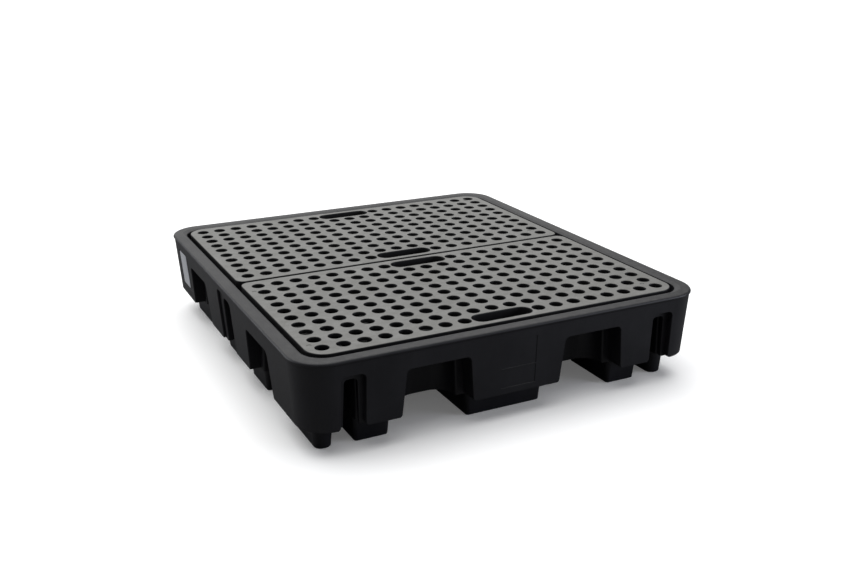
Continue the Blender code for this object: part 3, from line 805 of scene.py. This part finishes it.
class Paint:
    """Small helper that adds and links nodes of one material."""

    def __init__(self, name):
        self.material = bpy.data.materials.new(name)
        self.material.use_nodes = True
        self.nodes = self.material.node_tree.nodes
        self.links = self.material.node_tree.links
        self.shader = self.nodes["Principled BSDF"]
        self.coords = self.nodes.new("ShaderNodeTexCoord").outputs["Object"]

    def stretched(self, scale):
        node = self.nodes.new("ShaderNodeMapping")
        node.inputs["Scale"].default_value = scale
        self.links.new(self.coords, node.inputs["Vector"])
        return node.outputs["Vector"]

    def noise(self, scale, detail=3.0, roughness=0.55, stretch=None, distortion=0.0):
        node = self.nodes.new("ShaderNodeTexNoise")
        node.inputs["Scale"].default_value = scale
        node.inputs["Detail"].default_value = detail
        node.inputs["Roughness"].default_value = roughness
        node.inputs["Distortion"].default_value = distortion
        vector = self.stretched(stretch) if stretch else self.coords
        self.links.new(vector, node.inputs["Vector"])
        return node.outputs["Fac"]

    def cells(self, scale):
        node = self.nodes.new("ShaderNodeTexVoronoi")
        node.feature = "SMOOTH_F1"
        node.inputs["Scale"].default_value = scale
        self.links.new(self.coords, node.inputs["Vector"])
        return node.outputs["Distance"]

    def spread(self, value, low, high, out_low=0.0, out_high=1.0):
        """Map low..high of a value to out_low..out_high, clamped."""
        node = self.nodes.new("ShaderNodeMapRange")
        for socket, number in (("From Min", low), ("From Max", high),
                               ("To Min", out_low), ("To Max", out_high)):
            node.inputs[socket].default_value = number
        self.links.new(value, node.inputs["Value"])
        return node.outputs["Result"]

    def math(self, operation, first, second):
        node = self.nodes.new("ShaderNodeMath")
        node.operation = operation
        for socket, value in zip(node.inputs, (first, second)):
            if isinstance(value, (int, float)):
                socket.default_value = value
            else:
                self.links.new(value, socket)
        return node.outputs["Value"]

    def blend(self, factor, first, second):
        """Mix of two colours, each a tuple or a socket."""
        node = self.nodes.new("ShaderNodeMix")
        node.data_type = "RGBA"
        self.links.new(factor, node.inputs[0])
        for socket, value in ((node.inputs[6], first), (node.inputs[7], second)):
            if isinstance(value, tuple):
                socket.default_value = (*value, 1.0)
            else:
                self.links.new(value, socket)
        return node.outputs[2]

    def facing_up(self):
        """1 on surfaces that face straight up, 0 on walls."""
        geometry = self.nodes.new("ShaderNodeNewGeometry")
        split = self.nodes.new("ShaderNodeSeparateXYZ")
        self.links.new(geometry.outputs["Normal"], split.inputs["Vector"])
        return self.spread(split.outputs["Z"], UP_FROM, 1.0)

    def bump(self, height, strength, distance):
        node = self.nodes.new("ShaderNodeBump")
        node.inputs["Strength"].default_value = strength
        node.inputs["Distance"].default_value = distance
        self.links.new(height, node.inputs["Height"])
        self.links.new(node.outputs["Normal"], self.shader.inputs["Normal"])

    def output(self, colour, roughness):
        self.links.new(colour, self.shader.inputs["Base Color"])
        self.links.new(roughness, self.shader.inputs["Roughness"])
        return self.material


def sump_plastic():
    """Black satin polyethylene with a fine orange peel, scuffed and dusty where it faces up."""
    paint = Paint("sump_plastic")
    peel = paint.cells(scale=420.0)
    grain = paint.noise(scale=1500.0, detail=2.0)
    sag = paint.noise(scale=14.0, detail=2.0)
    relief = paint.math("ADD", paint.math("MULTIPLY", peel, 0.5), paint.math("MULTIPLY", grain, 0.25))
    relief = paint.math("ADD", relief, paint.math("MULTIPLY", sag, 2.2))
    paint.bump(relief, strength=0.35, distance=0.0006)

    cloud = paint.noise(scale=7.0, detail=5.0, roughness=0.62)
    streaks = paint.noise(scale=26.0, detail=6.0, roughness=0.7, stretch=(1.0, 1.0, 0.22))
    scuffs = paint.noise(scale=60.0, detail=8.0, roughness=0.75, stretch=(1.0, 0.8, 1.0), distortion=0.6)
    up = paint.facing_up()
    streaked = paint.math("MULTIPLY", paint.spread(streaks, low=0.50, high=0.75), 0.35)
    scuffed = paint.math("MULTIPLY", paint.spread(scuffs, low=0.46, high=0.68), up)
    colour = paint.blend(paint.spread(cloud, low=0.35, high=0.7), SUMP_DARK, SUMP_LIGHT)
    colour = paint.blend(streaked, colour, SUMP_STREAK)
    colour = paint.blend(paint.math("MULTIPLY", up, 0.55), colour, SUMP_DUST)
    colour = paint.blend(paint.math("MULTIPLY", scuffed, 0.45), colour, SUMP_SCUFF)
    satin = paint.spread(cloud, low=0.3, high=0.7, out_low=0.40, out_high=0.50)
    roughness = paint.math("ADD", satin, paint.math("MULTIPLY", scuffed, 0.12))
    paint.shader.inputs["Specular IOR Level"].default_value = 0.38
    return paint.output(colour, roughness)


def grate_plastic():
    """Dark grey polyethylene deck, finely textured, specked, dusty in patches, with painted shade that
    makes every wall near black.
    """
    paint = Paint("grate_plastic")
    peel = paint.cells(scale=520.0)
    grain = paint.noise(scale=1300.0, detail=3.0)
    relief = paint.math("ADD", paint.math("MULTIPLY", peel, 0.6), paint.math("MULTIPLY", grain, 0.5))
    sag = paint.noise(scale=18.0, detail=2.0)
    relief = paint.math("ADD", relief, paint.math("MULTIPLY", sag, 1.2))
    paint.bump(relief, strength=0.4, distance=0.0006)

    cloud = paint.noise(scale=4.5, detail=4.0, roughness=0.6)
    speck = paint.noise(scale=210.0, detail=6.0, roughness=0.7)
    rubbed = paint.noise(scale=38.0, detail=7.0, roughness=0.72, stretch=(0.7, 1.0, 1.0), distortion=0.5)
    up = paint.facing_up()
    specked = paint.math("MULTIPLY", paint.spread(speck, low=0.48, high=0.72), 0.35)
    dust = paint.math("MULTIPLY", paint.spread(rubbed, low=0.42, high=0.70), up)
    colour = paint.blend(paint.spread(cloud, low=0.35, high=0.68), GRATE_DARK, GRATE_LIGHT)
    colour = paint.blend(specked, colour, GRATE_SPECK)
    colour = paint.blend(paint.math("MULTIPLY", dust, 0.35), colour, GRATE_DUST)
    # Painted shade: faces that don't point up take the near black colour in place of the deck's own.
    colour = paint.blend(up, GRATE_PAINTED_SHADE, colour)
    roughness = paint.spread(cloud, low=0.3, high=0.7, out_low=0.40, out_high=0.52)
    paint.shader.inputs["Specular IOR Level"].default_value = 0.5
    return paint.output(colour, roughness)


def label_film():
    """Blank pale grey film, satin, with faint smudges and a slight pebble from the skirt under it."""
    paint = Paint("label_film_look")
    smudge = paint.noise(scale=22.0, detail=5.0, roughness=0.6)
    fibre = paint.noise(scale=260.0, detail=4.0, roughness=0.6, stretch=(1.0, 1.0, 0.35))
    fibres = paint.math("MULTIPLY", paint.spread(fibre, low=0.5, high=0.8), 0.3)
    colour = paint.blend(paint.spread(smudge, low=0.4, high=0.7), LABEL_LIGHT, LABEL_DARK)
    colour = paint.blend(fibres, colour, LABEL_FIBRE)
    paint.bump(paint.cells(scale=300.0), strength=0.2, distance=0.0003)
    roughness = paint.spread(smudge, low=0.3, high=0.7, out_low=0.30, out_high=0.42)
    return paint.output(colour, roughness)


# ---------------------------------------------------------------- studio
FLOOR_SIZE = 60.0
FLOOR_CELLS = 8
FLOOR_DROP = 0.0005         # keeps the floor just clear of the soles
FLOOR_SEEN = 0.94           # what the camera sees of the floor
FLOOR_GLOW = 0.10           # evenly lit backdrop under the floor, seen by the camera only
FLOOR_BOUNCE = 0.13         # how much of its light the floor throws back at the object
SKY_SEEN = 1.0
SKY_FILL = 0.23

CAMERA_PLACE = (-1.3600, -2.8200, 1.2804)
CAMERA_TURN = math.radians(26.596)      # away from looking straight at the front, towards +X
CAMERA_TILT = math.radians(19.248)      # down from level
CAMERA_LENS = 42.284
CAMERA_SENSOR = 36.0


def build_floor():
    bm = bmesh.new()
    bmesh.ops.create_grid(bm, x_segments=FLOOR_CELLS, y_segments=FLOOR_CELLS, size=FLOOR_SIZE / 2)
    mesh = bpy.data.meshes.new("studio_floor")
    bm.to_mesh(mesh)
    bm.free()
    floor = bpy.data.objects.new("studio_floor", mesh)
    bpy.context.scene.collection.objects.link(floor)
    floor.location.z = -FLOOR_DROP
    material = bpy.data.materials.new("studio_floor")
    material.use_nodes = True
    nodes = material.node_tree.nodes
    links = material.node_tree.links
    nodes.clear()
    path = nodes.new("ShaderNodeLightPath")
    mix = nodes.new("ShaderNodeMixShader")
    links.new(path.outputs["Is Camera Ray"], mix.inputs["Fac"])
    bounce = nodes.new("ShaderNodeBsdfDiffuse")
    bounce.inputs["Color"].default_value = (FLOOR_BOUNCE, FLOOR_BOUNCE, FLOOR_BOUNCE, 1.0)
    links.new(bounce.outputs["BSDF"], mix.inputs[1])
    seen = nodes.new("ShaderNodeBsdfDiffuse")
    seen.inputs["Color"].default_value = (FLOOR_SEEN, FLOOR_SEEN, FLOOR_SEEN, 1.0)
    glow = nodes.new("ShaderNodeEmission")
    glow.inputs["Strength"].default_value = FLOOR_GLOW
    both = nodes.new("ShaderNodeAddShader")
    links.new(seen.outputs["BSDF"], both.inputs[0])
    links.new(glow.outputs["Emission"], both.inputs[1])
    links.new(both.outputs["Shader"], mix.inputs[2])
    output = nodes.new("ShaderNodeOutputMaterial")
    links.new(mix.outputs["Shader"], output.inputs["Surface"])
    mesh.materials.append(material)


def build_world():
    """White backdrop for the camera, and only a weak fill on the object."""
    world = bpy.data.worlds.new("studio")
    world.use_nodes = True
    nodes = world.node_tree.nodes
    links = world.node_tree.links
    background = nodes["Background"]
    path = nodes.new("ShaderNodeLightPath")
    level = nodes.new("ShaderNodeMapRange")
    level.inputs["To Min"].default_value = SKY_FILL
    level.inputs["To Max"].default_value = SKY_SEEN
    links.new(path.outputs["Is Camera Ray"], level.inputs["Value"])
    links.new(level.outputs["Result"], background.inputs["Strength"])
    background.inputs["Color"].default_value = (1.0, 1.0, 1.0, 1.0)
    bpy.context.scene.world = world


def add_panel(name, place, target, size, power, colour=(1.0, 1.0, 1.0)):
    """Soft rectangular light, aimed at a point, that the camera doesn't see."""
    light = bpy.data.lights.new(name, "AREA")
    light.shape = "RECTANGLE"
    light.size, light.size_y = size
    light.energy = power
    light.color = colour
    obj = bpy.data.objects.new(name, light)
    obj.location = place
    obj.rotation_mode = "QUATERNION"
    obj.rotation_quaternion = (Vector(target) - Vector(place)).to_track_quat("-Z", "Y")
    obj.visible_camera = False
    bpy.context.scene.collection.objects.link(obj)


def add_sun(name, direction, strength, spread):
    """Distant light, spread over an angle in degrees for soft shadows."""
    light = bpy.data.lights.new(name, "SUN")
    light.energy = strength
    light.angle = math.radians(spread)
    obj = bpy.data.objects.new(name, light)
    obj.rotation_mode = "QUATERNION"
    obj.rotation_quaternion = Vector(direction).to_track_quat("-Z", "Y")
    bpy.context.scene.collection.objects.link(obj)


def light_studio():
    build_floor()
    build_world()
    add_sun("overhead", direction=(0.05, -0.15, -1.0), strength=3.0, spread=75.0)
    add_panel("back_wall", place=(0.6, 4.2, 2.0), target=(0.0, 0.2, 0.2), size=(7.0, 3.2), power=46.0)
    add_panel("left_wall", place=(-3.6, 2.6, 1.0), target=(-0.4, 0.3, 0.15), size=(2.6, 1.6),
              power=48.0, colour=(0.94, 0.97, 1.0))
    add_panel("front_right", place=(3.5, -3.0, 1.0), target=(0.2, 0.0, 0.15), size=(2.0, 1.6),
              power=60.0, colour=(0.84, 0.88, 1.0))


def place_camera():
    """Camera at the three-quarter view from the front left, a little above the deck."""
    right = Vector((math.cos(CAMERA_TURN), -math.sin(CAMERA_TURN), 0.0))
    level = Vector((math.sin(CAMERA_TURN), math.cos(CAMERA_TURN), 0.0))
    ahead = level * math.cos(CAMERA_TILT) - Vector((0.0, 0.0, math.sin(CAMERA_TILT)))
    up = right.cross(ahead)
    camera = bpy.data.cameras.new("camera")
    camera.lens = CAMERA_LENS
    camera.sensor_width = CAMERA_SENSOR
    obj = bpy.data.objects.new("camera", camera)
    turn = Matrix((right, up, -ahead)).transposed()
    obj.matrix_world = Matrix.Translation(CAMERA_PLACE) @ turn.to_4x4()
    bpy.context.scene.collection.objects.link(obj)
    bpy.context.scene.camera = obj


def main():
    show(build_sump(), "sump", "sump_body", sump_plastic())
    deck = grate_plastic()
    show(build_grate("front_deck_grate", -1, MARKS["front"]), "front_deck", "front_grate",
         deck)
    show(build_grate("rear_deck_grate", 1, MARKS["rear"]), "rear_deck", "rear_grate",
         deck)
    show(build_label(), "sump", "id_label", label_film())
    # The frame's own nodes are hidden. They get a real look too, so that no flat colour is left.
    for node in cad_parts.values():
        node.data.materials.clear()
        node.data.materials.append(deck)
    light_studio()
    place_camera()
    bpy.context.scene.view_settings.view_transform = "Standard"


main()
